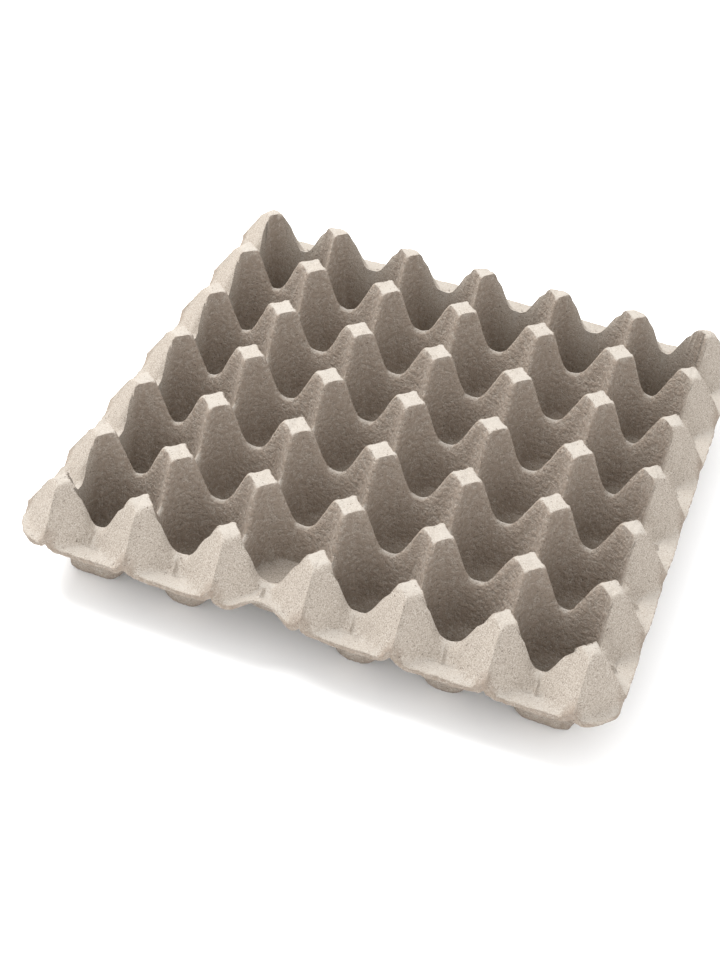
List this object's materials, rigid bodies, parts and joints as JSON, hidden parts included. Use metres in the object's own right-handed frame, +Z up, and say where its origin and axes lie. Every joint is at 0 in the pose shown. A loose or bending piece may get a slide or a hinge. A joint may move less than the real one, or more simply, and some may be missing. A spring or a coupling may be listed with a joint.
{
  "type": "pulp egg tray",
  "caption": "Square moulded pulp egg tray, open on top, with rows of tapered pockets between hollow peaked posts and a thin rough flange all round.",
  "frame": {"origin": "middle of the tray, at the level that the feet stand on", "axes": "+X along the front edge to the right, +Y towards the back edge, +Z up"},
  "size_m": [0.323, 0.323, 0.065],
  "materials": {
    "pulp": "rough grey moulded paper pulp"
  },
  "bodies": {
    "root": {"tray": "pulp"}
  },
  "joints": []
}
